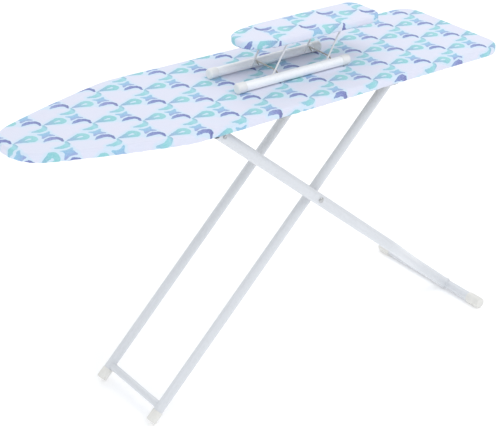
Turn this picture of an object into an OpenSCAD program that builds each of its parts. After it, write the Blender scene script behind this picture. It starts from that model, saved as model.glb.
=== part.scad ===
// Folding ironing board on crossed tube legs, with a small folding sleeve
// board that stands on top of it. Drawn open, at its working height.
// +Z up, floor at z = 0, nose of the board towards -X, square end towards +X.

/* [Board] */
// Length of the board, nose to square end
board_l = 1198; // [1150:1:1250]
// Full width, where the taper meets the parallel part
board_w = 332; // [320:1:345]
// Width at the square end
board_we = 318; // [305:1:320]
// Height of the ironing surface above the floor
board_h = 696; // [680:1:710]
// Thickness of the board at its edge, cover included
board_t = 19; // [18:1:21]
// Distance from the nose to the full width
taper_l = 325; // [300:1:350]
// Radius of the nose
nose_r = 86; // [80:1:90]

/* [Double leg] */
// Outer diameter of the two double-leg tubes
dtube_d = 22; // [20:0.5:22]
// Half the distance between the two tubes' axes
dtube_y = 100; // [98:1:101]
// Angle of the double leg from the floor
dleg_a = 45.5; // [45:0.1:46]
// Where the double leg's axis meets the floor, from the nose
dleg_x = 253; // [248:1:258]
// Diameter of the bar between the two tubes
dbar_d = 17; // [15:0.5:18]

/* [Single leg] */
// Outer diameter of the single-leg tube
stube_d = 26; // [25:0.5:26]
// Angle of the single leg from the floor
sleg_a = 39.5; // [39:0.1:40]
// Where the single leg's axis meets the floor, from the nose
sleg_x = 1216; // [1210:1:1222]
// Length of the foot bar with its caps
sbar_l = 366; // [350:2:380]
// How far the foot of the leg is cranked towards the middle
crank_y = 66; // [50:1:70]

/* [Sleeve board] */
// Length of the sleeve board
slv_l = 368; // [350:1:380]
// Width of the sleeve board
slv_w = 108; // [104:1:110]
// Distance from the board's nose to the sleeve board's nose
slv_x = 546; // [540:1:550]
// Height of the sleeve board's top above the ironing surface
slv_h = 98; // [97:1:99]
// Length of the two base tubes with their caps
rail_l = 306; // [300:1:315]
// Half the distance between the base tubes
rail_y = 49; // [49:0.5:50]
// Lean of the wire legs from upright
wire_lean = 30; // [28:0.5:31]

/* [Hidden] */
$fn = 48;
// lean angles and pivots of the main frame, measured from the nose
z_top = board_h;
z_bot = board_h - board_t;
z_deck = z_top - 9;            // top of the deck panel
hz = board_h - 38;             // plane of the leg hinge and the slide rod
hx = dleg_x + hz/tan(dleg_a);  // hinge of the double leg
rx = sleg_x - hz/tan(sleg_a);  // slide rod of the single leg
cz = (sleg_x - dleg_x)/(1/tan(dleg_a) + 1/tan(sleg_a)); // crossing
cx = dleg_x + cz/tan(dleg_a);
x_mid = (sleg_x - 13.5/tan(sleg_a) + 13.5)/2; // middle of the length, nose to foot bar
stube_y = -(dtube_y + dtube_d/2 + 1.5 + stube_d/2);  // single tube beside the near tube
bar_z = 13.5;                  // axis of the foot bar, its caps on the floor
bar_x = sleg_x - bar_z/tan(sleg_a);
cap_r = 12.25;                 // foot caps of the double leg
foot_z = 11.4*cos(dleg_a) - 0.4*sin(dleg_a);    // axis end of the double leg's caps
armd = (hz - cz)/sin(dleg_a);
arms = (hz - cz)/sin(sleg_a);
footd = (cz - foot_z)/sin(dleg_a);  // crossing to the end of the double leg
foots = (cz - bar_z)/sin(sleg_a);   // crossing to the foot bar
guide_y = -34;                 // middle of the two guides, which run under the board's middle
guide_g = 12;                  // inner face of each guide plate from there
slot_x0 = hx - armd*cos(4.4) - arms*cos(3.9) - 6;
slot_x1 = rx + 10;
pin_x = rx + 45;  pin_z = hz + 9;   // release lever's pin
// sleeve board
rail_z = z_top + 0.3 + 11.5;   // axis of the base tubes
wx1 = slv_x + 72;              // pivots of the two wire legs on the base tubes
wx2 = slv_x + 220;
wy = 36;                       // wire legs, inside the base tubes
wd = 4;
stop_z = z_top + slv_h;
clip_z = stop_z - 16 - 3.2;    // pivot under the sleeve board
wl = (clip_z - rail_z)/cos(wire_lean);
tx1 = wx1 + wl*sin(wire_lean);
tx2 = wx2 + wl*sin(wire_lean);

// ---------- outlines ----------
function unit(v) = v/norm(v);
function arcp(c, r, a0, a1, n) = [for (i = [0:n]) let (a = a0 + (a1 - a0)*i/n) [c[0] + r*cos(a), c[1] + r*sin(a)]];
function bez(p, q, r, n) = [for (i = [1:n]) let (t = i/n) (1 - t)*(1 - t)*p + 2*t*(1 - t)*q + t*t*r];
// one half of a board: round nose, bowed taper, soft shoulder, side, corner
function half(l, w, we, r, a, xf, a2, bl, rc) =
  let (p1 = [r - r*sin(a), r*cos(a)], c = [xf, w],
       p2 = c - bl*[cos(a2), sin(a2)],
       xi = (p2[1] - p1[1] + tan(a)*p1[0] - tan(a2)*p2[0])/(tan(a) - tan(a2)),
       q = [xi, p1[1] + tan(a)*(xi - p1[0])])
  concat(arcp([r, 0], r, 180, 90 + a, 12), bez(p1, q, p2, 7), bez(p2, c, [xf + bl, w], 4),
         arcp([l - rc, we - rc], rc, 90, 0, 8));
function mirr(h) = concat(h, [for (i = [len(h) - 1:-1:1]) [h[i][0], -h[i][1]]]);
// the same outline moved in (d < 0) along its normals
function inset(p, d) = [for (i = [0:len(p) - 1])
  let (n = len(p), a = p[(i + n - 1) % n], b = p[i], c = p[(i + 1) % n],
       u = unit(b - a), v = unit(c - b), n1 = [-u[1], u[0]], n2 = [-v[1], v[0]], m = unit(n1 + n2))
  b + d/max(0.3, m*n1)*m];
main_o = mirr(half(board_l, board_w/2, board_we/2, nose_r, 22, taper_l, 15, 28, 46));
slv_o = mirr(half(slv_l, slv_w/2, slv_w/2 - 1, 42, 24, 95, 8, 25, 30));

module put() { translate([-x_mid, 0, 0]) children(); }
module slab(o, d, z0, z1) { translate([0, 0, z0]) linear_extrude(z1 - z0) polygon(inset(o, d)); }
module ycyl(x, y0, y1, z, r, $fn = 48) { translate([x, y1, z]) rotate([90, 0, 0]) cylinder(h = y1 - y0, r = r); }
// local +Z runs down the leg from the crossing
module dleg(y) { translate([cx, y, cz]) rotate([0, -90 - dleg_a, 0]) children(); }
module sleg() { translate([cx, stube_y, cz]) rotate([0, 90 + sleg_a, 0]) children(); }
module dtube_outer(y) { dleg(y) translate([0, 0, -armd - 8]) cylinder(h = armd + footd + 8, r = dtube_d/2); }

// ---------- ironing board top ----------
module shell(o, z0, z1, hem) {
  difference() {
    slab(o, 0, z0, z1);
    slab(o, -1, z0 + 1, z1 - 1);
    slab(o, -hem, z0 - 1, z0 + 1.5);
  }
}
module cover() { color([0.91, 0.91, 0.96]) put() shell(main_o, z_bot, z_top, 20); }
module pad() { color([0.95, 0.94, 0.9]) put() slab(main_o, -1.4, z_deck + 0.2, z_top - 1.2); }
module deck_panel() { color([0.75, 0.77, 0.78]) put() slab(main_o, -2.2, z_deck - 1.0, z_deck - 0.2); }
module edge_rim() {
  color([0.9, 0.9, 0.91]) put() difference() {
    slab(main_o, -2.2, z_bot + 1.2, z_deck - 1.3);
    slab(main_o, -3.6, z_bot + 2.4, z_deck);
    slab(main_o, -13, z_bot, z_deck);
  }
}
// pressed channels across the underside, at hand-chosen stations
rib_x = [150, 600, hx + 42, 1100];
module rib(x, hw) {
  translate([x, 0, 0]) difference() {
    translate([-16, -hw, z_deck - 13.4]) cube([32, 2*hw, 12]);
    translate([-10.5, -hw - 1, z_deck - 12]) cube([21, 2*hw + 2, 12]);
    translate([-17, -hw - 1, z_deck - 14]) cube([5, 2*hw + 2, 11]);
    translate([12, -hw - 1, z_deck - 14]) cube([5, 2*hw + 2, 11]);
  }
}
module cross_ribs() {
  color([0.9, 0.9, 0.91]) put() {
    rib(rib_x[0], 74); rib(rib_x[1], 140); rib(rib_x[2], 135); rib(rib_x[3], 133);
  }
}
module hem_elastic() {
  color([0.93, 0.93, 0.95]) put() difference() {
    slab(main_o, -20.2, z_bot - 1, z_bot + 1.1);
    slab(main_o, -22.4, z_bot - 2, z_bot + 2);
  }
}
module deck_rivet(x, y, z) { translate([x, y, z]) { cylinder(h = 1.2, r1 = 1.2, r2 = 1.75, $fn = 24); } }
module deck_rivets() {
  color([0.8, 0.8, 0.8]) put()
    for (i = [0:3], s = [-1, 1], t = [-1, 1]) deck_rivet(rib_x[i] + t*14, s*(i == 0 ? 62 : 122), z_deck - 4.25);
}
// two saddles that straddle the tops of the double leg's tubes
module bracket(s) {
  translate([hx, s*dtube_y, 0]) difference() {
    union() {
      translate([-13, -15, hz - 8]) cube([26, 30, z_deck - 1.3 - hz + 8]);
      translate([-13, -23, z_deck - 3.1]) cube([26, 46, 1.8]);
    }
    translate([-14, -12.8, hz - 13]) cube([28, 25.6, z_deck - 3.1 - hz + 13]);
    translate([0, -16, hz]) rotate([-90, 0, 0]) cylinder(h = 32, r = 4.05);
  }
}
module hinge_brackets() { color([0.88, 0.88, 0.89]) put() { bracket(-1); bracket(1); } }
module hinge_rod() { color([0.7, 0.71, 0.73]) put() ycyl(hx, -dtube_y - 19, dtube_y + 19, hz, 4); }
module hinge_rod_nuts() {
  color([0.55, 0.56, 0.58]) put() for (s = [-1, 1]) difference() {
    ycyl(hx, min(s*(dtube_y + 15.2), s*(dtube_y + 18.2)), max(s*(dtube_y + 15.2), s*(dtube_y + 18.2)), hz, 7);
    ycyl(hx, -dtube_y - 30, dtube_y + 30, hz, 4.01);
  }
}
// notched guides that the single leg's top rod slides in
notch_x = [rx - 120, rx - 90, rx - 60, rx - 30, rx];
module guide(y0, pin) {
  difference() {
    union() {
      translate([slot_x0 - 8, y0, hz - 9.4]) cube([slot_x1 - slot_x0 + (pin ? 54 : 20), 1.6, z_deck - 1.3 - hz + 9.4]);
      translate([slot_x0 - 8, y0 < guide_y ? y0 - 12 : y0, z_deck - 2.9]) cube([slot_x1 - slot_x0 + (pin ? 54 : 20), 13.6, 1.6]);
    }
    hull() for (x = [slot_x0 + 5, slot_x1 - 5], z = [hz - 2.1, hz]) ycyl(x, y0 - 1, y0 + 2.6, z, 4.3, $fn = 32);
    for (x = notch_x) ycyl(x, y0 - 1, y0 + 2.6, hz + 3.2, 4.2);
    if (pin) ycyl(pin_x, y0 - 1, y0 + 2.6, pin_z, 3.02);
    // plate trimmed away under the pin
    if (pin) translate([pin_x - 27, y0 - 1, hz - 20]) cube([60, 4, 20]);
  }
}
module guide_plate_inner() { color([0.86, 0.87, 0.88]) put() guide(guide_y + guide_g, true); }
module guide_plate_outer() { color([0.86, 0.87, 0.88]) put() guide(guide_y - guide_g - 1.6, false); }
module guide_rivets() {
  color([0.8, 0.8, 0.8]) put() for (x = [slot_x0 + 12, slot_x0 + 90, slot_x1 - 12], s = [-1, 1])
    translate([x, guide_y + s*(guide_g + 8), z_deck - 4.2]) cylinder(h = 1.2, r1 = 2.2, r2 = 3.4, $fn = 24);
}
// ---------- release lever ----------
lev_y = guide_y + guide_g + 9;
module release_lever() {
  color([0.72, 0.73, 0.75]) put() difference() {
    translate([pin_x, lev_y + 2, pin_z]) rotate([90, 0, 0]) linear_extrude(2)
      polygon([[5, 7.5], [-4, 7.5], [-10, 5], [-24, 0], [-31, -8], [-29, -16], [-24, -13], [-18, -8], [-8, -7.5],
               [0, -8], [14, -8], [88, -16], [88, -6]]);
    ycyl(pin_x, lev_y - 1, lev_y + 3, pin_z, 3.05);
  }
}
module lever_grip() {
  color([0.25, 0.26, 0.28]) put() translate([pin_x, 0, pin_z]) difference() {
    translate([0, lev_y + 6, 0]) rotate([90, 0, 0]) linear_extrude(14) union() {
      translate([54, -19]) square([40, 15]);
      translate([50, -15]) square([48, 7]);
      for (x = [54, 94], z = [-15, -8]) translate([x, z]) circle(4);
    }
    // pocket for the lever plate
    translate([40, lev_y - 0.02, -30]) cube([48.02, 2.04, 40]);
  }
}
module lever_pin() {
  color([0.6, 0.61, 0.63]) put() union() {
    ycyl(pin_x, guide_y + guide_g, lev_y + 3.2, pin_z, 3);
    ycyl(pin_x, lev_y + 2.4, lev_y + 4.4, pin_z, 5);
  }
}
function helix(r, w, h, turns, n, m) = [for (i = [0:n*turns]) let (a = 360*i/n, z = w + (h - 2*w)*i/(n*turns))
  for (j = [0:m - 1]) let (b = 360*j/m, q = r + w*cos(b)) [q*cos(a), q*sin(a), z + w*sin(b)]];
module coil(r, w, h, turns, n = 16, m = 6) {
  pts = helix(r, w, h, turns, n, m); k = n*turns;
  polyhedron(pts, concat([[for (j = [m - 1:-1:0]) j]], [for (i = [0:k - 1], j = [0:m - 1])
    [i*m + j, (i + 1)*m + j, (i + 1)*m + (j + 1) % m, i*m + (j + 1) % m]], [[for (j = [0:m - 1]) k*m + j]]), convexity = 10);
}
spr_x = pin_x + 36;
spr_z = pin_z + 7.5 - 13.5*31/83 + 0.6;
module lever_spring() { color([0.6, 0.6, 0.62]) put() translate([spr_x, lev_y + 1, spr_z]) coil(3.2, 0.5, z_deck - 1.25 - spr_z, 3); }

// ---------- double leg ----------
module dtube(y) {
  difference() {
    dtube_outer(y);
    dleg(y) translate([0, 0, -armd - 9]) cylinder(h = armd + footd + 5, r = dtube_d/2 - 1.3);
    dleg(y) translate([0, 0, footd - 3]) cylinder(h = 4, r = dtube_d/2 + 1);
    ycyl(hx, y - 20, y + 20, hz, 4.05);
    if (y < 0) ycyl(cx, y - 20, y + 20, cz, 4.05);
  }
}
module double_tube_near() { color([0.88, 0.89, 0.9]) put() dtube(-dtube_y); }
module double_tube_far() { color([0.88, 0.89, 0.9]) put() dtube(dtube_y); }
module double_leg_bar() {
  color([0.88, 0.89, 0.9]) put() difference() {
    dleg(0) translate([0, dtube_y, footd - 37]) rotate([90, 0, 0]) difference() {
      cylinder(h = 2*dtube_y, r = dbar_d/2);
      translate([0, 0, -1]) cylinder(h = 2*dtube_y + 2, r = dbar_d/2 - 1.2);
    }
    dtube_outer(-dtube_y); dtube_outer(dtube_y);
  }
}
module dcap(y) {
  dleg(y) translate([0, 0, footd - 27]) difference() {
    rotate_extrude() polygon([[0, 0], [11.7, 0], [cap_r, 1], [cap_r, 25], [11.4, 26.6], [10.6, 27], [0, 27]]);
    translate([0, 0, -1]) cylinder(h = 24.98 + 0.02, r = dtube_d/2 + 0.02);
  }
}
module double_cap_near() { color([0.86, 0.86, 0.85]) put() dcap(-dtube_y); }
module double_cap_far() { color([0.86, 0.86, 0.85]) put() dcap(dtube_y); }

// ---------- single leg ----------
crank_s = 300;    // where the crank starts, below the crossing
// The tube is straight down to the crank, then two equal bends bring its
// foot nearer the middle. Its five stretches meet end to end.
crank_r = 150;
crank_a = 20;
crank_l = (crank_y - 2*crank_r*(1 - cos(crank_a)))/sin(crank_a);
crank_e = crank_s + 2*crank_r*sin(crank_a) + crank_l*cos(crank_a);
gap = 0.01;
module ring(h) { difference() { cylinder(h = h, r = stube_d/2); translate([0, 0, -1]) cylinder(h = h + 2, r = stube_d/2 - 1.4); } }
module bend() {
  translate([0, crank_r, 0]) rotate([90, 0, -90]) rotate_extrude(angle = crank_a) translate([crank_r, 0])
    difference() { circle(stube_d/2); circle(stube_d/2 - 1.4); }
}
module single_tube() {
  color([0.88, 0.89, 0.9]) put() {
    difference() {
      sleg() translate([0, 0, -arms - 10]) ring(arms + 10 + crank_s - gap);
      ycyl(cx, stube_y - 20, stube_y + 20, cz, 4.05);
      ycyl(rx, stube_y - 20, stube_y + 20, hz, 4);
    }
    sleg() translate([0, 0, crank_s]) {
      bend();
      translate([0, crank_r*(1 - cos(crank_a)), crank_r*sin(crank_a)]) rotate([-crank_a, 0, 0]) translate([0, 0, gap]) ring(crank_l - 2*gap);
    }
    sleg() translate([0, crank_y, crank_e]) rotate([180, 0, 0]) bend();
    difference() {
      sleg() translate([0, crank_y, crank_e + gap]) ring(foots - crank_e);
      ycyl(bar_x, -180, 180, bar_z, 11.25);
    }
  }
}
sbar_h = sbar_l/2;
module single_foot_bar() {
  color([0.88, 0.89, 0.9]) put() difference() {
    ycyl(bar_x, -sbar_h + 4, sbar_h - 4, bar_z, 11.25);
    ycyl(bar_x, -sbar_h, sbar_h, bar_z, 9.9);
  }
}
module scap() {
  rotate([90, 0, 0]) difference() {
    rotate_extrude() polygon([[0, 0], [12.6, 0], [13.3, 1.2], [13.5, 3], [13.5, 36], [12.9, 38.6], [11.5, 40], [0, 40]]);
    translate([0, 0, -1]) cylinder(h = 37, r = 11.27);
  }
}
module single_cap_near() { color([0.86, 0.86, 0.85]) put() translate([bar_x, -sbar_h + 40, bar_z]) scap(); }
module single_cap_far() { color([0.86, 0.86, 0.85]) put() translate([bar_x, sbar_h - 40, bar_z]) mirror([0, 1, 0]) scap(); }
module slide_rod() { color([0.7, 0.71, 0.73]) put() ycyl(rx, stube_y - stube_d/2 - 2.4, guide_y + guide_g + 6.4, hz, 4); }
module slide_rod_rollers() {
  color([0.2, 0.2, 0.22]) put() for (s = [-1, 1]) difference() {
    ycyl(rx, guide_y + min(s*(guide_g + 2.2), s*(guide_g + 6.2)), guide_y + max(s*(guide_g + 2.2), s*(guide_g + 6.2)), hz, 6.5);
    ycyl(rx, guide_y - 40, guide_y + 40, hz, 4.01);
  }
}
module pivot_rivet() {
  color([0.8, 0.81, 0.82]) put() {
    ycyl(cx, stube_y - stube_d/2 - 1, -dtube_y + dtube_d/2 + 1, cz, 4);
    translate([cx, stube_y - stube_d/2 - 0.9, cz]) rotate([90, 0, 0])
      rotate_extrude() polygon([[0, 0], [6.5, 0], [6.5, 0.5], [5.2, 1.9], [3, 2.8], [0, 3]]);
    translate([cx, -dtube_y + dtube_d/2 + 0.9, cz]) rotate([-90, 0, 0])
      rotate_extrude() polygon([[0, 0], [6.5, 0], [6.5, 0.5], [5.2, 1.9], [3, 2.8], [0, 3]]);
  }
}
module pivot_washers() {
  color([0.2, 0.2, 0.22]) put() difference() {
    ycyl(cx, stube_y + stube_d/2 + 0.05, -dtube_y - dtube_d/2 - 0.35, cz, 10);
    ycyl(cx, stube_y, -dtube_y, cz, 4.1);
  }
}

// ---------- sleeve board ----------
rail_x0 = slv_x - 33;
module base_tube(y) {
  s = y < 0 ? 1 : -1;
  difference() {
    translate([rail_x0 + 4, y, rail_z]) rotate([0, 90, 0]) cylinder(h = rail_l - 8, r = 10.3);
    translate([rail_x0, y, rail_z]) rotate([0, 90, 0]) cylinder(h = rail_l, r = 9.2);
    for (x = [wx1, wx2]) ycyl(x, y + (s > 0 ? 5 : -15), y + (s > 0 ? 15 : -5), rail_z, wd/2 + 0.05);
  }
}
module sleeve_base_near() { color([0.94, 0.94, 0.95]) put() base_tube(-rail_y); }
module sleeve_base_far() { color([0.94, 0.94, 0.95]) put() base_tube(rail_y); }
module rcap() {
  rotate([0, 90, 0]) difference() {
    rotate_extrude() polygon([[0, 0], [8, 0], [10.4, 1.2], [11.5, 4], [11.5, 21], [11, 22], [0, 22]]);
    translate([0, 0, 4]) cylinder(h = 20, r = 10.32);
  }
}
module sleeve_base_caps() {
  color([0.95, 0.95, 0.96]) put() for (y = [-rail_y, rail_y]) {
    translate([rail_x0, y, rail_z]) rcap();
    translate([rail_x0 + rail_l, y, rail_z]) mirror([1, 0, 0]) rcap();
  }
}
// a wire bent to a tall hoop: top bar, two sides, and ends turned out into the base tubes
module wire(x) {
  ycyl(x, -wy - 9, -wy, rail_z, wd/2);
  ycyl(x, wy, wy + 9, rail_z, wd/2);
  for (y = [-wy, wy]) {
    translate([x, y, rail_z]) rotate([0, wire_lean, 0]) cylinder(h = wl, r = wd/2);
    translate([x, y, rail_z]) sphere(r = wd/2);
    translate([x + wl*sin(wire_lean), y, clip_z]) sphere(r = wd/2);
  }
  ycyl(x + wl*sin(wire_lean), -wy, wy, clip_z, wd/2);
}
// stay across each hoop, welded on, with its ends turned down as stops
stay_s = 15;
module stay(x) {
  translate([x, 0, rail_z]) rotate([0, wire_lean, 0]) translate([wd/2 + 1.6, 0, stay_s]) {
    ycyl(0, -wy + 2, wy - 2, 0, 1.5);
    for (y = [-wy + 2, wy - 2]) {
      translate([0, y, 0]) sphere(r = 1.5);
      translate([0, y, 0]) rotate([0, 116, 0]) cylinder(h = 14, r = 1.5);
      translate([0, y, 0]) rotate([0, 116, 0]) translate([0, 0, 14]) sphere(r = 1.5);
    }
  }
}
module sleeve_wire_front() { color([0.9, 0.9, 0.91]) put() wire(wx1); }
module sleeve_wire_rear() { color([0.9, 0.9, 0.91]) put() wire(wx2); }
module sleeve_stay_front() { color([0.62, 0.6, 0.55]) put() stay(wx1); }
module sleeve_stay_rear() { color([0.62, 0.6, 0.55]) put() stay(wx2); }
module sput() { translate([slv_x - x_mid, 0, 0]) children(); }
module sleeve_cover() { color([0.91, 0.91, 0.96]) sput() shell(slv_o, stop_z - 16, stop_z, 13); }
module sleeve_pad() { color([0.95, 0.94, 0.9]) sput() slab(slv_o, -1.3, stop_z - 7.8, stop_z - 1.2); }
module sleeve_panel() {
  color([0.75, 0.77, 0.78]) sput() difference() {
    slab(slv_o, -2, stop_z - 9.2, stop_z - 8);
    for (x = [120, 160, 200, 260, 300]) translate([x, 0, stop_z - 12]) cylinder(h = 6, r = 8);
  }
}
module sleeve_rim() {
  color([0.9, 0.9, 0.91]) sput() difference() {
    slab(slv_o, -2, stop_z - 14.8, stop_z - 9.3);
    slab(slv_o, -3.2, stop_z - 13.6, stop_z - 9);
    slab(slv_o, -10, stop_z - 16, stop_z - 9);
  }
}
// saddle clips that hold each hoop's top bar to the sleeve panel
module clip(x, y) {
  translate([x, y, 0]) difference() {
    union() {
      translate([-4.5, -6, clip_z]) cube([9, 12, stop_z - 9.2 - clip_z]);
      ycyl(0, -6, 6, clip_z, 4.5);
      translate([-11, -6, stop_z - 11.2]) cube([22, 12, 2]);
    }
    ycyl(0, -7, 7, clip_z, wd/2 + 0.05);
    for (s = [-1, 1]) translate([s*8, 0, stop_z - 14]) cylinder(h = 6, r = 1.6);
  }
}
module sleeve_clips() { color([0.85, 0.86, 0.88]) put() for (x = [tx1, tx2], y = [-22, 22]) clip(x, y); }
module sleeve_clip_screws() {
  color([0.6, 0.61, 0.63]) put() for (x = [tx1, tx2], y = [-22, 22], s = [-1, 1]) translate([x + s*8, y, stop_z - 12.4]) {
    cylinder(h = 1.2, r1 = 1.6, r2 = 2.8, $fn = 24);
    cylinder(h = 3.1, r = 1.55, $fn = 24);
  }
}

cover();
pad();
deck_panel();
edge_rim();
cross_ribs();
hem_elastic();
deck_rivets();
hinge_brackets();
hinge_rod();
hinge_rod_nuts();
guide_plate_inner();
guide_plate_outer();
guide_rivets();
release_lever();
lever_grip();
lever_pin();
lever_spring();
double_tube_near();
double_tube_far();
double_leg_bar();
double_cap_near();
double_cap_far();
single_tube();
single_foot_bar();
single_cap_near();
single_cap_far();
slide_rod();
slide_rod_rollers();
pivot_rivet();
pivot_washers();
sleeve_base_near();
sleeve_base_far();
sleeve_base_caps();
sleeve_wire_front();
sleeve_stay_front();
sleeve_wire_rear();
sleeve_stay_rear();
sleeve_cover();
sleeve_pad();
sleeve_panel();
sleeve_rim();
sleeve_clips();
sleeve_clip_screws();
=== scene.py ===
import math
import bpy
import numpy as np
from mathutils import Matrix, Vector


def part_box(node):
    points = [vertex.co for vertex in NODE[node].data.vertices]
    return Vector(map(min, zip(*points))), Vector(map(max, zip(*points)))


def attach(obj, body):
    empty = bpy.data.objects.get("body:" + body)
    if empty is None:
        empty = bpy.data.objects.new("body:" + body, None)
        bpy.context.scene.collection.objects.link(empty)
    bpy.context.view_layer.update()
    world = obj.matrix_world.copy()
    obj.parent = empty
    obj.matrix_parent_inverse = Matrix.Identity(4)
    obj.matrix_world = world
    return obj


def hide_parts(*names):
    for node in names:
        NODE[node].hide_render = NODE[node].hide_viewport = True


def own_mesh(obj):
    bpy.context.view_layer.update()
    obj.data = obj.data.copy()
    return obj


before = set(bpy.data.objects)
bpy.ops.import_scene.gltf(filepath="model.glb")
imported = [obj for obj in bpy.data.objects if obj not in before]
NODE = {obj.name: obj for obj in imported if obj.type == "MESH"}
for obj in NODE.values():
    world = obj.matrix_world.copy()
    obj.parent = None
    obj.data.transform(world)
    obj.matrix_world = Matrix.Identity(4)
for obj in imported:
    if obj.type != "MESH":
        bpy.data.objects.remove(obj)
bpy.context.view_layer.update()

scene = bpy.context.scene
MM = 0.001


# ------------------------------------------------------------------ camera
cam_data = bpy.data.cameras.new("camera")
cam = bpy.data.objects.new("camera", cam_data)
scene.collection.objects.link(cam)
right = Vector((0.7905655, -0.61180745, 0.02641659)).normalized()
fwd = Vector((0.5509899, 0.69182829, -0.46667306)).normalized()
right = (right - fwd * right.dot(fwd)).normalized()
up = right.cross(fwd)
cam.matrix_world = Matrix.Translation(Vector((-1.66003, -2.07334, 1.77152))) @ Matrix((right, up, -fwd)).transposed().to_4x4()
cam_data.sensor_width = 36
cam_data.lens = 96.69
cam_data.clip_end = 60
scene.camera = cam

# ------------------------------------------------------------------ shader helpers
def lin(c):
    """sRGB 0-255 to linear RGBA"""
    out = []
    for v in c:
        v = v / 255
        out.append(v / 12.92 if v <= 0.04045 else ((v + 0.055) / 1.055) ** 2.4)
    return (*out, 1.0)


class Tree:
    """A small builder for node trees: every call makes a node and returns its output socket."""

    def __init__(self, name):
        self.mat = bpy.data.materials.new(name)
        self.mat.use_nodes = True
        self.t = self.mat.node_tree
        self.t.nodes.clear()
        self.out = self.t.nodes.new("ShaderNodeOutputMaterial")
        self.bsdf = self.t.nodes.new("ShaderNodeBsdfPrincipled")
        self.t.links.new(self.bsdf.outputs[0], self.out.inputs[0])

    def put(self, socket, v):
        if v is None:
            return
        if isinstance(v, bpy.types.NodeSocket):
            self.t.links.new(v, socket)
        elif isinstance(v, (tuple, list, Vector)) and socket.type == "RGBA" and len(v) == 3:
            socket.default_value = (*v, 1)
        else:
            socket.default_value = v

    def node(self, kind, **props):
        n = self.t.nodes.new(kind)
        for k, v in props.items():
            setattr(n, k, v)
        return n

    def m(self, op, a, b=None, c=None, clamp=False):
        n = self.node("ShaderNodeMath", operation=op, use_clamp=clamp)
        for i, v in enumerate((a, b, c)):
            if v is not None:
                self.put(n.inputs[i], v)
        return n.outputs[0]

    def v(self, op, a, b=None, scale=None):
        n = self.node("ShaderNodeVectorMath", operation=op)
        self.put(n.inputs[0], a)
        if b is not None:
            self.put(n.inputs[1], b)
        if scale is not None:
            self.put(n.inputs["Scale"], scale)
        return n.outputs["Value"] if op in ("DOT_PRODUCT", "LENGTH", "DISTANCE") else n.outputs["Vector"]

    def obj(self):
        return self.node("ShaderNodeTexCoord").outputs["Object"]

    def noise(self, vec, scale, detail=2.0, rough=0.5, out="Fac", dist=0.0):
        n = self.node("ShaderNodeTexNoise")
        self.put(n.inputs["Vector"], vec)
        n.inputs["Scale"].default_value = scale
        n.inputs["Detail"].default_value = detail
        n.inputs["Roughness"].default_value = rough
        n.inputs["Distortion"].default_value = dist
        return n.outputs[out]

    def voronoi(self, vec, scale, feature="F1", out="Distance"):
        n = self.node("ShaderNodeTexVoronoi", feature=feature)
        self.put(n.inputs["Vector"], vec)
        n.inputs["Scale"].default_value = scale
        return n.outputs[out]

    def mapping(self, vec, scale=(1, 1, 1), rot=(0, 0, 0), loc=(0, 0, 0)):
        n = self.node("ShaderNodeMapping")
        self.put(n.inputs["Vector"], vec)
        n.inputs["Location"].default_value = loc
        n.inputs["Rotation"].default_value = rot
        n.inputs["Scale"].default_value = scale
        return n.outputs[0]

    def ramp(self, fac, stops, mode="LINEAR"):
        n = self.node("ShaderNodeValToRGB")
        n.color_ramp.interpolation = mode
        e = n.color_ramp.elements
        while len(e) > 1:
            e.remove(e[-1])
        e[0].position, e[0].color = stops[0][0], stops[0][1]
        for p, c in stops[1:]:
            x = e.new(p)
            x.color = c
        self.put(n.inputs[0], fac)
        return n.outputs[0]

    def mix(self, fac, a, b, blend="MIX"):
        n = self.node("ShaderNodeMix", data_type="RGBA", blend_type=blend)
        self.put(n.inputs[0], fac)
        self.put(n.inputs[6], a)
        self.put(n.inputs[7], b)
        return n.outputs[2]

    def span(self, v, a, b, c=0.0, d=1.0):
        n = self.node("ShaderNodeMapRange")
        self.put(n.inputs[0], v)
        for i, x in enumerate((a, b, c, d)):
            n.inputs[1 + i].default_value = x
        return n.outputs[0]

    def bump(self, height, strength, distance, normal=None):
        n = self.node("ShaderNodeBump")
        self.put(n.inputs["Height"], height)
        n.inputs["Strength"].default_value = strength
        n.inputs["Distance"].default_value = distance
        if normal is not None:
            self.put(n.inputs["Normal"], normal)
        return n.outputs[0]

    def set(self, **kw):
        names = {"color": "Base Color", "rough": "Roughness", "metal": "Metallic", "normal": "Normal", "sheen": "Sheen Weight",
                 "sheen_rough": "Sheen Roughness", "coat": "Coat Weight", "coat_rough": "Coat Roughness", "spec": "Specular IOR Level",
                 "sss": "Subsurface Weight", "sss_scale": "Subsurface Scale", "aniso": "Anisotropic", "ior": "IOR"}
        for k, v in kw.items():
            self.put(self.bsdf.inputs[names[k]], v)
        return self.mat


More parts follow.
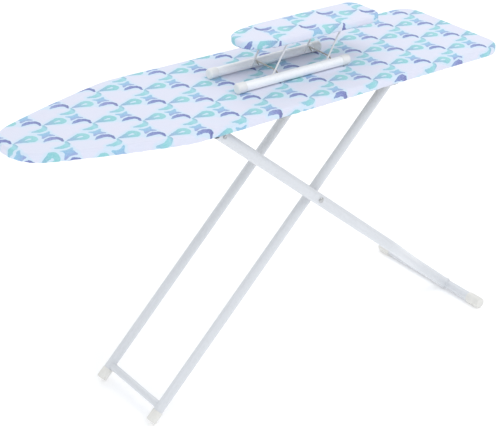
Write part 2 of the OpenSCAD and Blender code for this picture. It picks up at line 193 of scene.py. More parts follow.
# ------------------------------------------------------------------ materials
def white_paint(name, tone=(226, 228, 231), fine=1.0):
    """Semi-gloss powder coat: faint orange peel, slight grey variation, small rubbed and dusty spots."""
    t = Tree(name)
    o = t.obj()
    broad = t.noise(o, 6, 2, 0.5)
    dust = t.noise(o, 140, 4, 0.7)
    c = t.mix(t.span(broad, 0.3, 0.7), lin(tone), lin(tuple(v - 3 for v in tone)))
    specks = t.span(t.voronoi(o, 210), 0.012, 0.03, 1.0, 0.0)
    rare = t.m("MULTIPLY", specks, t.span(t.noise(o, 30, 2), 0.62, 0.72))
    c = t.mix(t.m("MULTIPLY", rare, 0.2), c, lin((176, 175, 170)))
    geo = t.node("ShaderNodeNewGeometry")
    wear = t.m("MULTIPLY", t.span(geo.outputs["Pointiness"], 0.56, 0.66), t.span(dust, 0.5, 0.65))
    c = t.mix(t.m("MULTIPLY", wear, 0.15), c, lin((190, 190, 189)))
    r = t.m("ADD", t.span(dust, 0.3, 0.7, 0.3, 0.33), t.m("MULTIPLY", t.span(broad, 0.35, 0.65), 0.03))
    peel = t.noise(o, 620 * fine, 2, 0.4)
    return t.set(color=c, rough=r, normal=t.bump(peel, 0.06, 0.00004), coat=0.3, coat_rough=0.15, spec=0.5)


def white_plastic(name, tone=(232, 231, 227)):
    t = Tree(name)
    o = t.obj()
    grain = t.noise(o, 900, 3, 0.6)
    cloud = t.noise(o, 45, 3, 0.5)
    c = t.mix(t.span(cloud, 0.3, 0.7), lin(tone), lin(tuple(v - 9 for v in tone)))
    scuff = t.span(t.noise(t.mapping(o, (60, 300, 300)), 1.0, 3, 0.7), 0.64, 0.74)
    c = t.mix(t.m("MULTIPLY", scuff, 0.25), c, lin((176, 173, 166)))
    return t.set(color=c, rough=t.span(grain, 0.3, 0.7, 0.36, 0.5), normal=t.bump(grain, 0.1, 0.00006), spec=0.45)


def black_plastic(name, tone=(38, 39, 42)):
    t = Tree(name)
    o = t.obj()
    grain = t.voronoi(o, 1400)
    cloud = t.noise(o, 60, 3, 0.6)
    c = t.mix(t.span(cloud, 0.3, 0.7), lin(tone), lin(tuple(v + 12 for v in tone)))
    return t.set(color=c, rough=t.span(cloud, 0.3, 0.7, 0.42, 0.58), normal=t.bump(grain, 0.3, 0.00012))


def zinc(name, tone=(196, 199, 203), rough=(0.26, 0.46)):
    """Zinc plated sheet: crystalline patches, fine rolling lines."""
    t = Tree(name)
    o = t.obj()
    flake = t.voronoi(o, 130, out="Color")
    tone_v = t.v("DOT_PRODUCT", flake, (0.4, 0.35, 0.25))
    lines = t.noise(t.mapping(o, (12, 700, 700)), 1.0, 3, 0.6)
    c = t.mix(t.span(tone_v, 0.2, 0.8), lin(tone), lin(tuple(v - 30 for v in tone)))
    c = t.mix(t.m("MULTIPLY", t.span(t.noise(o, 24, 4, 0.6), 0.55, 0.75), 0.3), c, lin((150, 148, 143)))
    r = t.m("ADD", t.span(tone_v, 0.2, 0.8, rough[0], rough[1]), t.m("MULTIPLY", lines, 0.1))
    return t.set(color=c, rough=r, metal=1.0, normal=t.bump(lines, 0.12, 0.00008))


def rivet_steel(name, tone=(206, 207, 208)):
    t = Tree(name)
    o = t.obj()
    s = t.noise(t.mapping(o, (300, 300, 1600)), 1.0, 3, 0.6)
    c = t.mix(t.span(s, 0.3, 0.7), lin(tone), lin(tuple(v - 34 for v in tone)))
    return t.set(color=c, rough=t.span(s, 0.3, 0.7, 0.2, 0.36), metal=1.0, normal=t.bump(s, 0.1, 0.00005))


def felt(name, tone=(226, 223, 214)):
    """Needled felt: matted fibres with a few darker ones."""
    t = Tree(name)
    o = t.obj()
    warp = t.v("ADD", o, t.v("SCALE", t.noise(o, 260, 3, 0.6, "Color"), scale=0.006))
    fibres = t.noise(t.mapping(warp, (900, 2600, 900), (0.3, 0.1, 0.6)), 1.0, 4, 0.7)
    cross = t.noise(t.mapping(warp, (2600, 800, 900), (0.1, 0.5, 0.9)), 1.0, 4, 0.7)
    f = t.m("ADD", fibres, cross)
    c = t.mix(t.span(f, 0.75, 1.25), lin(tuple(v - 26 for v in tone)), lin(tone))
    dark = t.span(t.noise(t.mapping(warp, (500, 3000, 500), (0, 0, 0.8)), 1.0, 2, 0.5), 0.68, 0.74)
    c = t.mix(t.m("MULTIPLY", dark, 0.5), c, lin((138, 142, 158)))
    return t.set(color=c, rough=0.95, normal=t.bump(f, 0.7, 0.0008), sheen=0.35, sheen_rough=0.6)


def elastic(name):
    """Braided elastic cord: diagonal braid ridges."""
    t = Tree(name)
    o = t.obj()
    a = t.noise(t.mapping(o, (1900, 1900, 400), (0.2, 0.4, 0.78)), 1.0, 2, 0.5)
    b = t.noise(t.mapping(o, (1900, 1900, 400), (0.2, -0.4, -0.78)), 1.0, 2, 0.5)
    f = t.m("MULTIPLY", a, b)
    c = t.mix(t.span(f, 0.15, 0.35), lin((196, 197, 204)), lin((236, 236, 240)))
    return t.set(color=c, rough=0.8, normal=t.bump(f, 0.6, 0.0005), sheen=0.2)


def thread(name, tone=(240, 240, 244)):
    t = Tree(name)
    o = t.obj()
    s = t.noise(t.mapping(o, (2600, 2600, 900), (0.3, 0.2, 0.5)), 1.0, 2, 0.5)
    c = t.mix(t.span(s, 0.3, 0.7), lin(tuple(v - 24 for v in tone)), lin(tone))
    return t.set(color=c, rough=0.7, normal=t.bump(s, 0.5, 0.0002), sheen=0.2)


def printed_cotton(name, turned, origin, phi):
    """Plain-weave cotton with a printed lattice: pale triangles between triangles that hold a drop, a comma, a star and a crescent.
    The flat attribute holds each point's place on the cloth before it was pulled over the board, in metres."""
    t = Tree(name)
    at = t.node("ShaderNodeAttribute", attribute_type="GEOMETRY", attribute_name="flat")
    flat = at.outputs["Vector"]
    ax, b = 87.34, 87.17
    sgn = -1.0 if turned else 1.0
    p = t.v("SCALE", t.v("SUBTRACT", flat, (origin[0], origin[1], 0)), scale=1000.0)
    cs, sn = math.cos(phi) * sgn, math.sin(phi) * sgn
    px = t.v("DOT_PRODUCT", p, (cs, sn, 0))
    py = t.v("DOT_PRODUCT", p, (-sn, cs, 0))
    # the column and row of the cell, and the place in it
    col = t.m("FLOOR", t.m("DIVIDE", t.m("SUBTRACT", 3.0, px), ax))
    lx = t.m("MULTIPLY_ADD", col, ax, px)
    py2 = t.m("MULTIPLY_ADD", col, b / 2, py)
    row = t.m("FLOOR", t.m("DIVIDE", t.m("SUBTRACT", 1.0, py2), b))
    ly = t.m("MULTIPLY_ADD", row, b, py2)
    comb = t.node("ShaderNodeCombineXYZ")
    t.put(comb.inputs[0], lx)
    t.put(comb.inputs[1], ly)
    cell = t.node("ShaderNodeCombineXYZ")
    t.put(cell.inputs[0], col)
    t.put(cell.inputs[1], row)
    wn = t.node("ShaderNodeTexWhiteNoise", noise_dimensions="3D")
    t.put(wn.inputs["Vector"], cell.outputs[0])
    rnd = wn.outputs["Value"]
    # the printing's edges wander a little, as hand-cut shapes do
    wob = t.v("SUBTRACT", t.noise(t.v("SCALE", flat, scale=1000.0), 0.16, 3, 0.6, "Color"), (0.5, 0.5, 0.5))
    q = t.v("ADD", comb.outputs[0], t.v("MULTIPLY", wob, (4.2, 4.2, 0)))
    q = t.v("MULTIPLY", q, (1, 1, 0))

    def seg(a, bb, r0, r1):
        d = (bb[0] - a[0], bb[1] - a[1])
        l2 = d[0] ** 2 + d[1] ** 2
        pa = t.v("SUBTRACT", q, (a[0], a[1], 0))
        n = t.node("ShaderNodeVectorMath", operation="DOT_PRODUCT")
        t.put(n.inputs[0], pa)
        n.inputs[1].default_value = (d[0] / l2, d[1] / l2, 0)
        h = t.m("MULTIPLY", n.outputs["Value"], 1.0, clamp=True)
        s = t.node("ShaderNodeVectorMath", operation="SCALE")
        s.inputs[0].default_value = (d[0], d[1], 0)
        t.put(s.inputs["Scale"], h)
        dist = t.v("DISTANCE", pa, s.outputs["Vector"])
        return t.m("SUBTRACT", dist, t.m("MULTIPLY_ADD", h, r1 - r0, r0 + 0.9))

    def union(items):
        d = items[0]
        for x in items[1:]:
            d = t.m("MINIMUM", d, x)
        return d

    def path(pts):
        return union([seg(a[:2], c[:2], a[2], c[2]) for a, c in zip(pts, pts[1:])])

    def mask(d, soft=0.9):
        return t.m("MULTIPLY_ADD", d, -1.0 / soft, 0.5, clamp=True)

    # four plain motifs: a drop with a slot in it, a comma, an even four-pointed star and a crescent
    leaf = seg((-84, -43.6), (-51, -42.5), 0.2, 14.6)
    hole = seg((-61, -43), (-51, -42.5), 0.2, 2.4)
    leaf = t.m("MAXIMUM", leaf, t.m("MULTIPLY", hole, -1.0))
    hook = path([(0.4, -2, 1.3), (-1.4, -11.5, 4.2), (-8.5, -18.5, 6.2), (-19, -20, 5.4), (-31, -17, 1.9)])
    star = union([seg((-16.5, -42.5), (-16.5 + sx * 12, -42.5 + sy * 10), 7.6, 1.0) for sx in (-1, 1) for sy in (-1, 1)])
    arc = path([(-34.5, -67.5, 0.9), (-25.5, -63.5, 4.6), (-15, -62.2, 5.8), (-6.5, -65.5, 4.8), (-2, -73, 3.4), (-3.6, -84, 1.4)])
    every = union([leaf, hook, star, arc])

    base = lin((224, 228, 244))
    pink = t.span(t.noise(flat, 22, 2, 0.5), 0.35, 0.7)
    c = t.mix(t.m("MULTIPLY", pink, 0.5), base, lin((228, 226, 242)))
    halo = t.span(every, 0.5, 9.0, 1.0, 0.0)
    # the triangle that the four motifs stand in has a paler blue ground
    sep = t.node("ShaderNodeSeparateXYZ")
    t.put(sep.inputs[0], q)
    slope = t.m("SUBTRACT", t.m("ABSOLUTE", t.m("ADD", sep.outputs[1], 43.6)), t.m("MULTIPLY_ADD", sep.outputs[0], 0.5, 43.6))
    tri = t.span(t.m("MAXIMUM", sep.outputs[0], slope), -1.5, 2.0, 0.62, 0.0)
    inside = t.m("MAXIMUM", t.m("MULTIPLY", halo, 0.8), tri, clamp=True)
    c = t.mix(inside, c, lin((203, 230, 246)))
    leaf_c = t.ramp(t.span(lx, -86, -34), [(0.0, lin((128, 134, 184))), (0.2, lin((140, 168, 212))), (0.42, lin((136, 188, 210))),
                                             (0.62, lin((136, 206, 212))), (1.0, lin((146, 215, 214)))])
    hook_c = t.ramp(t.span(lx, -30, 2), [(0.0, lin((140, 194, 216))), (0.45, lin((132, 208, 212))), (0.8, lin((150, 212, 222))), (1.0, lin((132, 184, 206)))])
    star_c = t.ramp(t.span(ly, -53, -33), [(0.0, lin((140, 148, 206))), (0.4, lin((138, 180, 222))), (1.0, lin((136, 194, 222)))])
    arc_c = t.ramp(t.span(lx, -35, 0), [(0.0, lin((134, 162, 208))), (0.35, lin((124, 134, 198))), (0.75, lin((118, 118, 188))), (1.0, lin((88, 86, 156)))])
    # each cell's ink is a little its own, and the ink is thin in places
    arc_c = t.mix(t.m("MULTIPLY", rnd, 0.55), arc_c, lin((64, 82, 172)))
    leaf_c = t.mix(t.m("MULTIPLY", rnd, 0.3), leaf_c, lin((92, 190, 196)))
    ink = t.span(t.noise(t.v("SCALE", flat, scale=1000.0), 0.3, 4, 0.65), 0.3, 0.7, 0.0, 0.34)
    for d, col_c in ((leaf, leaf_c), (hook, hook_c), (star, star_c), (arc, arc_c)):
        f = t.m("MULTIPLY", mask(d), t.m("SUBTRACT", 1.0, ink))
        c = t.mix(f, c, col_c)
    # plain weave: warp over weft, with slubs
    warp_y = t.m("SINE", t.m("MULTIPLY", t.v("DOT_PRODUCT", flat, (1, 0, 0)), 2 * math.pi / 0.00062))
    weft_x = t.m("SINE", t.m("MULTIPLY", t.v("DOT_PRODUCT", flat, (0, 1, 0)), 2 * math.pi / 0.00066))
    weave = t.m("MULTIPLY", warp_y, weft_x)
    slub = t.noise(t.mapping(flat, (90, 2400, 1)), 1.0, 2, 0.6)
    slub2 = t.noise(t.mapping(flat, (2400, 90, 1)), 1.0, 2, 0.6)
    yarn = t.m("ADD", slub, slub2)
    c = t.mix(t.m("MULTIPLY", t.span(yarn, 0.8, 1.2), 0.06), c, lin((198, 202, 222)))
    h = t.m("ADD", t.m("MULTIPLY", weave, 0.35), yarn)
    fine = t.bump(h, 0.35, 0.00016)
    rumple = t.noise(flat, 15, 3, 0.5, dist=0.4)
    both = t.bump(rumple, 0.22, 0.006, fine)
    return t.set(color=c, rough=0.86, normal=both, sheen=0.18, sheen_rough=0.5, spec=0.25)


XM = 606.5616  # middle of the length, from the board's nose, in mm
PRINT = printed_cotton("printed_cotton", False, ((1157 - XM) * MM, 110.2 * MM), -0.01404)
PRINT_SLEEVE = printed_cotton("printed_cotton_sleeve", True, ((792.5 - XM) * MM, 39.0 * MM), 0.02)
FELT = felt("felt")
PAINT = white_paint("white_paint", (219, 222, 227))
# the sleeve board's base tubes get a lighter copy of the white paint: painted light that lifts the shade the sleeve
# board casts on them
PAINT_BASE_PAINTED_LIGHT = white_paint("white_paint_base_painted_light", (250, 251, 254))
PLASTIC = white_plastic("white_plastic")
PLASTIC_BASE = white_plastic("white_plastic_base", (240, 240, 240))
BLACK = black_plastic("black_plastic")
ZINC = zinc("zinc_steel")
STEEL = rivet_steel("rivet_steel")
WIRE = white_paint("wire_paint", (233, 234, 236), 1.6)
# the stays get a darker, brownish copy of the wire paint: painted shade for the shadow the thin stays sit in
STAY_PAINTED_SHADE = white_paint("stay_paint_painted_shade", (176, 171, 160), 1.6)
ELASTIC = elastic("elastic")
THREAD = thread("thread")
MATS = {
    "edge_rim": PAINT, "cross_ribs": PAINT, "deck_rivets": STEEL, "hinge_brackets": PAINT, "hinge_rod": ZINC, "hinge_rod_nuts": STEEL,
    "guide_plate_inner": ZINC, "guide_plate_outer": ZINC, "guide_rivets": STEEL, "release_lever": ZINC, "lever_grip": BLACK, "lever_pin": STEEL,
    "lever_spring": STEEL, "double_tube_near": PAINT, "double_tube_far": PAINT, "double_leg_bar": PAINT, "double_cap_near": PLASTIC,
    "double_cap_far": PLASTIC, "single_tube": PAINT, "single_foot_bar": PAINT, "single_cap_near": PLASTIC, "single_cap_far": PLASTIC,
    "slide_rod": ZINC, "slide_rod_rollers": BLACK, "pivot_rivet": STEEL, "pivot_washers": BLACK, "sleeve_base_near": PAINT_BASE_PAINTED_LIGHT,
    "sleeve_base_far": PAINT_BASE_PAINTED_LIGHT, "sleeve_base_caps": PLASTIC_BASE, "sleeve_wire_front": WIRE, "sleeve_stay_front": STAY_PAINTED_SHADE,
    "sleeve_wire_rear": WIRE, "sleeve_stay_rear": STAY_PAINTED_SHADE, "sleeve_rim": PAINT, "sleeve_clips": ZINC, "sleeve_clip_screws": STEEL,
    "sleeve_panel": ZINC, "cover": PRINT, "sleeve_cover": PRINT_SLEEVE, "pad": FELT, "sleeve_pad": FELT, "deck_panel": ZINC, "hem_elastic": ELASTIC,
}
for name, o in NODE.items():
    mat = MATS[name]
    if len(o.material_slots) == 0:
        o.data.materials.append(mat)
    for s in o.material_slots:
        s.material = mat


# ------------------------------------------------------------------ outlines, as the frame's boards have them
def arcp(c, r, a0, a1, n):
    return [(c[0] + r * math.cos(math.radians(a0 + (a1 - a0) * i / n)), c[1] + r * math.sin(math.radians(a0 + (a1 - a0) * i / n))) for i in range(n + 1)]


def bez(p, q, r, n):
    return [tuple((1 - i / n) ** 2 * p[k] + 2 * (i / n) * (1 - i / n) * q[k] + (i / n) ** 2 * r[k] for k in (0, 1)) for i in range(1, n + 1)]


def half(l, w, we, r, a, xf, a2, bl, rc, k=4):
    ta, t2 = math.tan(math.radians(a)), math.tan(math.radians(a2))
    p1 = (r - r * math.sin(math.radians(a)), r * math.cos(math.radians(a)))
    p2 = (xf - bl * math.cos(math.radians(a2)), w - bl * math.sin(math.radians(a2)))
    xi = (p2[1] - p1[1] + ta * p1[0] - t2 * p2[0]) / (ta - t2)
    q = (xi, p1[1] + ta * (xi - p1[0]))
    return arcp((r, 0), r, 180, 90 + a, 12 * k) + bez(p1, q, p2, 7 * k) + bez(p2, (xf, w), (xf + bl, w), 4 * k) + arcp((l - rc, we - rc), rc, 90, 0, 8 * k)


def outline(args, x0, step):
    """A closed outline in metres, evenly spaced, and its outward normals. It starts at the nose and runs along the far side."""
    h = half(*args)
    p = np.array(h + [(x, -y) for x, y in h[-1:0:-1]], float)
    p[:, 0] += x0 - XM
    p *= MM
    nxt = np.roll(p, -1, axis=0)
    d = np.linalg.norm(nxt - p, axis=1)
    s = np.concatenate([[0], np.cumsum(d)])
    n = int(round(s[-1] / step / 2)) * 2
    at = np.arange(n) / n * s[-1]
    pp = np.vstack([p, p[:1]])
    out = np.stack([np.interp(at, s, pp[:, 0]), np.interp(at, s, pp[:, 1])], axis=1)
    tan = np.roll(out, -1, axis=0) - np.roll(out, 1, axis=0)
    nrm = np.stack([-tan[:, 1], tan[:, 0]], axis=1)
    for _ in range(3):
        nrm = nrm + 0.5 * (np.roll(nrm, 1, axis=0) + np.roll(nrm, -1, axis=0))
    nrm /= np.linalg.norm(nrm, axis=1)[:, None]
    return out, nrm, s[-1]


MAIN = (1198, 166, 159, 86, 22, 325, 15, 28, 46)
SLV = (368, 54, 53, 42, 24, 95, 8, 25, 30)
lo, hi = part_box("cover")
slo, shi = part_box("sleeve_cover")
Z_TOP, Z_BOT = hi.z, lo.z
S_TOP, S_BOT = shi.z, slo.z


def mesh_object(name, verts, faces, mat, smooth=True):
    me = bpy.data.meshes.new(name)
    me.from_pydata([tuple(map(float, v)) for v in verts], [], [tuple(int(i) for i in f) for f in faces])
    me.materials.append(mat)
    me.validate()
    o = bpy.data.objects.new(name, me)
    scene.collection.objects.link(o)
    if smooth:
        me.polygons.foreach_set("use_smooth", [True] * len(me.polygons))
    me.update()
    return o


def wave(n, cycles, seed):
    """A smooth closed wave of n samples, from -1 to 1, whose pitch wanders about cycles per turn."""
    rng = np.random.default_rng(seed)
    x = np.arange(n) / n
    y = np.zeros(n)
    for k in range(-6, 7):
        c = cycles + 3 * k
        y += np.exp(-((k / 3.5) ** 2)) * np.sin(2 * np.pi * (c * x + rng.random()))
    for _ in range(2):
        y = np.where(np.abs(y) > 1.6, np.sign(y) * 1.6, y)
    return y / np.abs(y).max()


def rings_to_mesh(rings, flats, inner_axis):
    """Rings of the same number of points, from the edge of the middle outwards; inner_axis leaves the faces as they
    are, and weld_centre joins the first ring's two sides.
    """
    n = len(rings[0])
    verts, flat = [], []
    for r, f in zip(rings, flats):
        verts += list(r)
        flat += list(f)
    faces = []
    for k in range(len(rings) - 1):
        a, b = k * n, (k + 1) * n
        for i in range(n):
            j = (i + 1) % n
            faces.append((a + i, b + i, b + j, a + j))
    if inner_axis:
        # the first ring lies on the centre line: point i meets point n - i
        faces = [f for f in faces]
    return verts, flat, faces


def weld_centre(verts, flat, faces, n):
    """Joins the points of the first ring that lie at the same place."""
    keep, where = {}, np.arange(len(verts))
    for i in range(n):
        key = (round(verts[i][0], 7), round(verts[i][1], 7))
        if key in keep:
            where[i] = keep[key]
        else:
            keep[key] = i
    used, new = {}, []
    out = []
    for f in faces:
        g = []
        for v in f:
            w = int(where[v])
            if not g or g[-1] != w:
                g.append(w)
        if len(g) > 1 and g[0] == g[-1]:
            g.pop()
        if len(set(g)) >= 3:
            out.append(tuple(g))
    ids = sorted({v for f in out for v in f})
    remap = {v: k for k, v in enumerate(ids)}
    return [verts[v] for v in ids], [flat[v] for v in ids], [tuple(remap[v] for v in f) for f in out], remap


def spider(o, cx0, cx1, inset0, shares, nrm):
    """Rings from the centre line (share 0) out to the outline moved in by inset0 (share 1)."""
    edge = o - nrm * inset0
    centre = np.stack([np.clip(o[:, 0], cx0, cx1), np.zeros(len(o))], axis=1)
    # points past either end of the centre line sit at that end
    return [centre + (edge - centre) * s for s in shares], edge


def make_cover(name, args, x0, z_top, z_bot, hem, cx0, cx1, mat, step, gathers, seed, body, node, r1=5.5, r2=4.0, crown=0.0):
    """A fitted cover: pulled over the board, gathered under it, with a turned casing on its hem. It is one sheet of cloth."""
    o, nrm, length = outline(args, x0, step)
    n = len(o)
    r1, r2 = r1 * MM, r2 * MM
    shares = np.array([0, 0.12, 0.24, 0.36, 0.48, 0.58, 0.67, 0.75, 0.82, 0.88, 0.925, 0.955, 0.975, 0.99, 1.0])
    tops, edge = spider(o, cx0, cx1, r1 + 1.0 * MM, shares, nrm)
    w1 = wave(n, gathers, seed)
    w2 = wave(n, gathers * 0.37, seed + 1)
    w3 = wave(n, gathers * 0.1, seed + 2)
    rings, flats = [], []
    # how far in from the edge each point of the top is
    for s, t in zip(shares, tops):
        inn = np.linalg.norm(t - edge, axis=1)
        fade = np.exp(-inn / 0.02)
        z = z_top + crown * (1 - np.exp(-inn / 0.03)) - 0.00025 * fade * (1 + w2)
        rings.append(np.column_stack([t, z]))
        flats.append(np.column_stack([t, np.zeros(n)]))
    prof = []  # offset, height, length along the cloth from the outline less r1
    s = 0.0
    for a in np.linspace(90, 0, 8)[1:]:
        s = r1 * math.radians(90 - a)
        prof.append((-r1 + r1 * math.cos(math.radians(a)), z_top - r1 + r1 * math.sin(math.radians(a)), s))
    side = (z_top - r1) - (z_bot + r2)
    k = max(2, int(round(side / 0.0028)))
    for i in range(1, k + 1):
        prof.append((0.0, z_top - r1 - side * i / k, s + side * i / k))
    s += side
    for a in np.linspace(0, 90, 6)[1:]:
        prof.append((-r2 + r2 * math.cos(math.radians(a)), z_bot + r2 - r2 * math.sin(math.radians(a)), s + r2 * math.radians(a)))
    s += r2 * math.pi / 2
    run = hem * MM - r2
    k = max(3, int(round(run / 0.0022)))
    for i in range(1, k + 1):
        prof.append((-r2 - run * i / k, z_bot, s + run * i / k))
    s += run
    # casing: the cloth turns round the elastic and ends on itself
    cr = 1.6 * MM
    for a in np.linspace(0, 250, 9)[1:]:
        prof.append((-hem * MM - cr * math.sin(math.radians(a)), z_bot - cr + cr * math.cos(math.radians(a)), s + cr * math.radians(a)))
    total = prof[-1][2]
    hem0 = r1 * math.pi / 2 + side
    for off, z, sl in prof:
        u = max(0.0, (sl - hem0 * 0.55) / (total - hem0 * 0.55))  # 0 on the upper side, 1 at the hem
        amp = u ** 1.3
        off_w = off + (0.0005 * amp * w2 + 0.0005 * amp * w1) + 0.0003 * w3 * min(1.0, sl / r1)
        z_w = z - amp * 0.0011 * (1 + w1) * (1 if sl > hem0 else 0.35 * (sl / hem0)) - 0.0004 * amp * (1 + w2)
        if off < -(hem - 0.5) * MM:  # the casing gathers round the elastic
            off_w = off + 0.0004 * w1 + 0.0003 * w2
        rings.append(np.column_stack([o + nrm * off_w[:, None], z_w * np.ones(n)]))
        flats.append(np.column_stack([o + nrm * (sl - r1), np.zeros(n)]))
    # the gathers also lean along the hem
    tan = np.column_stack([nrm[:, 1], -nrm[:, 0]])
    for q, (off, z, sl) in zip(rings[len(shares):], prof):
        u = max(0.0, (sl - hem0) / (total - hem0))
        q[:, :2] += tan * (0.0009 * u * np.roll(w1, 3) + 0.0006 * u * w2)[:, None]
    verts, flat, faces = rings_to_mesh(rings, flats, True)
    verts, flat, faces, remap = weld_centre(verts, flat, faces, n)
    ob = mesh_object(name, verts, faces, mat)
    n_top = len(shares)
    # the flat area: the outline grown by the cloth's length past it
    fo = o + nrm * (total - r1)
    area = 0.5 * abs(float(np.sum(fo[:, 0] * np.roll(fo[:, 1], -1) - np.roll(fo[:, 0], -1) * fo[:, 1])))
    size = (float(np.ptp(fo[:, 1])), float(np.ptp(fo[:, 0])))
    ring_ids = lambda k: [remap[k * n + i] for i in range(n) if (k * n + i) in remap]
    pins = {"hard": [], "soft": []}
    nr = len(rings)
    casing = nr - 9
    weights = {}
    for k in range(nr):
        if k >= casing:
            w = 1.0
        elif k < n_top - 4:
            w = 1.0
        elif k < n_top:
            w = 0.35
        else:
            w = 0.0
        for i in ring_ids(k):
            weights[i] = w
    settle(ob, weights, cap=1.3 * MM, pressure=0.35)
    # final attribute, before the cloth gets its thickness
    att = ob.data.attributes.new("flat", "FLOAT_VECTOR", "POINT")
    att.data.foreach_set("vector", np.array(flat, np.float32).ravel())
    rows = {k: ring_ids(k) for k in range(n_top, nr)}
    stitch_row = nr - 10
    co = np.array([v.co for v in ob.data.vertices], float)
    line = co[rows[stitch_row]]
    cas = co[rows[casing + 3]]
    nxt = co[rows[stitch_row - 1]]
    thick = ob.modifiers.new("thickness", "SOLIDIFY")
    thick.thickness = 0.45 * MM
    thick.offset = -1.0
    thick.use_rim = True
    apply_all(ob)
    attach(ob, body)
    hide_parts(node)
    return ob, o, nrm, line, cas, nxt, size, area


def apply_all(ob):
    """Turns the object's modifiers into its mesh."""
    bpy.context.view_layer.update()
    ev = ob.evaluated_get(bpy.context.evaluated_depsgraph_get())
    me = bpy.data.meshes.new_from_object(ev, preserve_all_data_layers=True, depsgraph=bpy.context.evaluated_depsgraph_get())
    old = ob.data
    ob.modifiers.clear()
    ob.data = me
    me.name = ob.name
    bpy.data.meshes.remove(old)


def settle(ob, weights, cap, pressure, frames=20):
    """Lets the cloth take its own shape for a few frames; no point moves further than cap."""
    vg = ob.vertex_groups.new(name="pin")
    groups = {}
    for i, w in weights.items():
        groups.setdefault(w, []).append(i)
    for w, ids in groups.items():
        if w > 0:
            vg.add(ids, w, "REPLACE")
    md = ob.modifiers.new("cloth", "CLOTH")
    st = md.settings
    st.quality = 6
    st.mass = 0.2
    st.tension_stiffness = st.compression_stiffness = 12
    st.shear_stiffness = 5
    st.bending_stiffness = 0.6
    st.use_pressure = True
    st.uniform_pressure_force = pressure
    st.vertex_group_mass = "pin"
    st.effector_weights.gravity = 0
    md.collision_settings.use_collision = False
    md.point_cache.frame_start, md.point_cache.frame_end = 1, frames
    rest = np.array([v.co for v in ob.data.vertices], float)
    for f in range(1, frames + 1):
        scene.frame_set(f)
    dg = bpy.context.evaluated_depsgraph_get()
    ev = ob.evaluated_get(dg).to_mesh()
    now = np.zeros(len(rest) * 3)
    ev.vertices.foreach_get("co", now)
    now = now.reshape(-1, 3)
    ob.evaluated_get(dg).to_mesh_clear()
    ob.modifiers.clear()
    ob.vertex_groups.clear()
    scene.frame_set(1)
    d = now - rest
    size = np.linalg.norm(d, axis=1)
    d *= np.minimum(1, cap / np.maximum(size, 1e-9))[:, None]
    d[~np.isfinite(d)] = 0
    ob.data.vertices.foreach_set("co", (rest + d).astype(np.float32).ravel())
    ob.data.update()
    print("settled", ob.name, "moved up to", round(float(size.max() * 1000), 2), "mm, mean", round(float(size.mean() * 1000), 3))


cover, m_out, m_nrm, m_line, m_cas, m_nxt, m_size, m_area = make_cover(
    "cover_cloth", MAIN, 0, Z_TOP, Z_BOT + 0.0005, 19.6, (150 - XM) * MM, (1040 - XM) * MM, PRINT, 0.004, 118, 11, "board", "cover")
slv, s_out, s_nrm, s_line, s_cas, s_nxt, s_size, s_area = make_cover(
    "sleeve_cover_cloth", SLV, 546, S_TOP, S_BOT + 0.0003, 13.0, (546 + 60 - XM) * MM, (546 + 318 - XM) * MM, PRINT_SLEEVE, 0.0034, 44, 23, "sleeve_top",
    "sleeve_cover", r1=5.0, r2=4.5, crown=0.0003)


# ------------------------------------------------------------------ tubes swept along points
def sweep(name, pts, radius, mat, sides=8, closed=False, ripple=0.0, seed=1):
    p = np.array(pts, float)
    n = len(p)
    if closed:
        tan = np.roll(p, -1, axis=0) - np.roll(p, 1, axis=0)
    else:
        tan = np.gradient(p, axis=0)
    tan /= np.maximum(np.linalg.norm(tan, axis=1), 1e-12)[:, None]
    ref = np.array([0.0, 0.0, 1.0])
    u = np.cross(tan, ref)
    bad = np.linalg.norm(u, axis=1) < 1e-3
    u[bad] = np.cross(tan[bad], np.array([0.0, 1.0, 0.0]))
    # carry the first direction along, so that the tube doesn't twist
    u[0] /= np.linalg.norm(u[0])
    for i in range(1, n):
        v = u[i - 1] - tan[i] * np.dot(u[i - 1], tan[i])
        u[i] = v / max(np.linalg.norm(v), 1e-9)
    w = np.cross(tan, u)
    rng = np.random.default_rng(seed)
    r = radius * (1 + ripple * np.sin(np.arange(n) * 2.1 + rng.random()) + 0.4 * ripple * (rng.random(n) - 0.5))
    verts, faces = [], []
    for i in range(n):
        for k in range(sides):
            a = 2 * math.pi * k / sides
            verts.append(p[i] + r[i] * (math.cos(a) * u[i] + math.sin(a) * w[i]))
    m = n if closed else n - 1
    for i in range(m):
        j = (i + 1) % n
        for k in range(sides):
            l = (k + 1) % sides
            faces.append((i * sides + k, i * sides + l, j * sides + l, j * sides + k))
    if not closed:
        faces.append(tuple(range(sides - 1, -1, -1)))
        faces.append(tuple((n - 1) * sides + k for k in range(sides)))
    return verts, faces


def sweeps(name, paths, radius, mat, body, **kw):
    """Several swept tubes as one object."""
    verts, faces = [], []
    for i, p in enumerate(paths):
        r = radius[i] if isinstance(radius, (list, tuple)) else radius
        v, f = sweep(name, p, r, mat, seed=i + 1, **kw)
        k = len(verts)
        verts += v
        faces += [tuple(x + k for x in q) for q in f]
    o = mesh_object(name, verts, faces, mat)
    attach(o, body)
    return o


# elastic cord inside the casings, showing through the turned hem's open end
def inner_line(cas, nrm, back, drop):
    p = cas.copy()
    p[:, :2] += nrm[:len(p)] * back
    p[:, 2] += drop
    return p


el = sweeps("hem_elastic_cord", [np.column_stack([m_out - m_nrm * (19.9 * MM), np.full(len(m_out), Z_BOT - 0.0012)])[::1]], 0.0009, ELASTIC, "board", sides=6, closed=True)
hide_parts("hem_elastic")
els = sweeps("sleeve_hem_elastic_cord", [np.column_stack([s_out - s_nrm * (13.3 * MM), np.full(len(s_out), S_BOT - 0.0013)])], 0.0008, ELASTIC, "sleeve_top", sides=6, closed=True)


